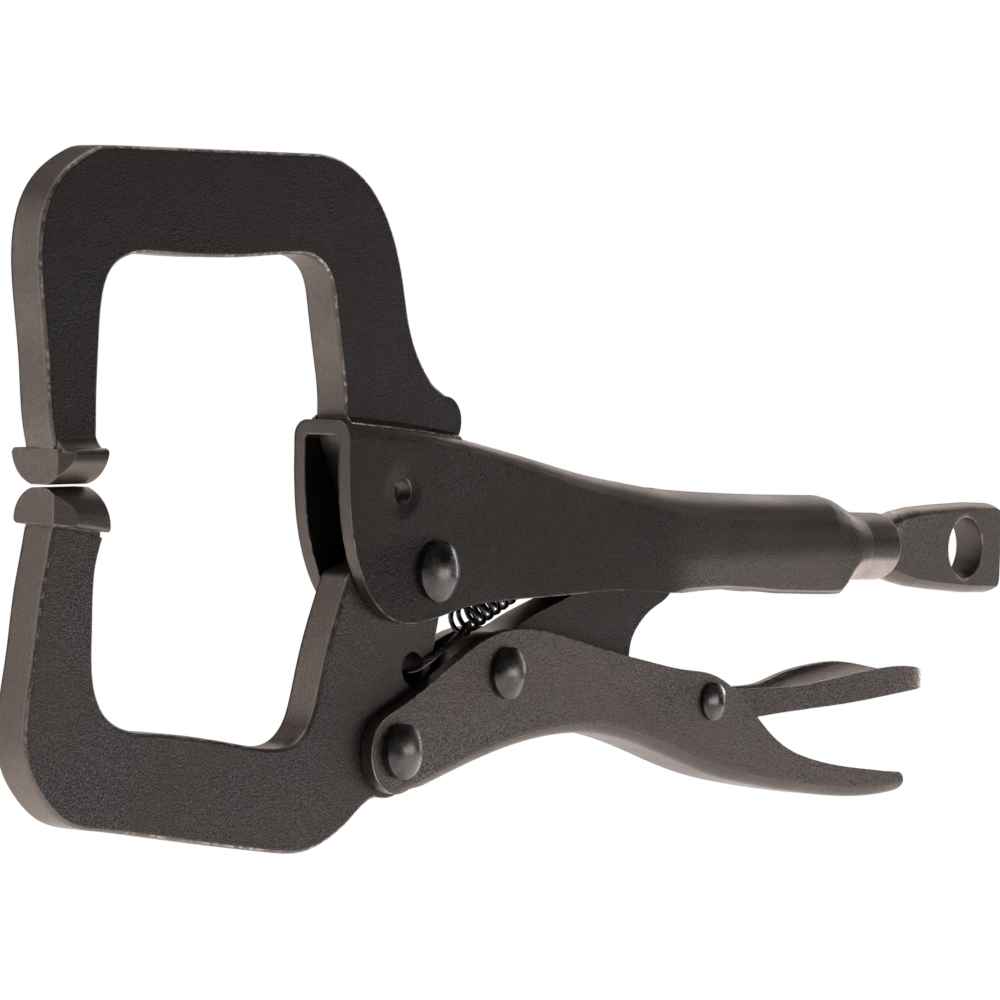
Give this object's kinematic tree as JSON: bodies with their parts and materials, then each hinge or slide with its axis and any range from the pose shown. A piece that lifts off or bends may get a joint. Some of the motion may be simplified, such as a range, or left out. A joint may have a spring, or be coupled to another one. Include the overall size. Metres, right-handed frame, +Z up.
{
  "type": "c clamp",
  "caption": "Locking C-clamp with two deep forged jaws, sheet-steel toggle handles, an adjusting screw with a holed tab and a release lever.",
  "frame": {"origin": "centre of the fixed jaw's pad face, with the clamp shut", "axes": "+X from the jaws towards the adjusting screw, +Y across the sheet metal away from the side in view, +Z up, from the moving jaw to the fixed jaw"},
  "size_m": [0.2881, 0.0186, 0.1219],
  "materials": {
    "blackened_sheet": "black oxide, satin",
    "blackened_forging": "black oxide, blasted",
    "rivet_steel": "blackened, smooth",
    "weld_metal": "blackened weld",
    "screw_steel": "blackened, brushed",
    "spring_wire": "oiled wire"
  },
  "bodies": {
    "upper_handle": {"upper_handle": "blackened_sheet", "fixed_jaw": "blackened_forging", "weld_bead": "weld_metal", "jaw_pivot_rivet": "rivet_steel", "return_spring": "spring_wire"},
    "moving_jaw": {"moving_jaw": "blackened_forging"},
    "lower_handle": {"lower_handle": "blackened_sheet", "handle_pivot_rivet": "rivet_steel", "link_rivet": "rivet_steel", "lever_rivet": "rivet_steel"},
    "toggle_link": {"toggle_link": "blackened_forging"},
    "release_lever": {"release_lever": "blackened_sheet"},
    "screw": {"screw_shank": "screw_steel"},
    "screw_tab": {"screw_tab": "screw_steel"}
  },
  "joints": [
    {"name": "jaw_pivot", "type": "hinge", "parent": "upper_handle", "child": "moving_jaw", "pos_m": [0.0908, 0, -0.017], "axis": [0, -1, 0], "range_deg": [0, 36], "deforming": ["return_spring"]},
    {"name": "handle_pivot", "type": "hinge", "parent": "moving_jaw", "child": "lower_handle", "pos_m": [0.0812, 0, -0.0485], "axis": [0, 1, 0], "range_deg": [0, 88]},
    {"name": "link_pivot", "type": "hinge", "parent": "lower_handle", "child": "toggle_link", "pos_m": [0.1112, 0, -0.036], "axis": [0, -1, 0], "range_deg": [0, 87]},
    {"name": "lever_pivot", "type": "hinge", "parent": "lower_handle", "child": "release_lever", "pos_m": [0.1737, 0, -0.0443], "axis": [0, 1, 0], "range_deg": [0, 10]},
    {"name": "screw_travel", "type": "slide", "parent": "upper_handle", "child": "screw", "axis": [0.9994, 0, -0.0349], "range_m": [0, 0.015]},
    {"name": "screw_turn", "type": "hinge", "parent": "screw", "child": "screw_tab", "pos_m": [0.2637, 0, -0.0179], "axis": [0.9994, 0, -0.0349], "range_deg": [0, 3601]}
  ],
  "couplings": [
    {"joint": "handle_pivot", "follows": "jaw_pivot", "ratio": 2.4369},
    {"joint": "link_pivot", "follows": "jaw_pivot", "ratio": 2.4121},
    {"joint": "screw_turn", "follows": "screw_travel", "rad_per_m": 4188.8}
  ]
}
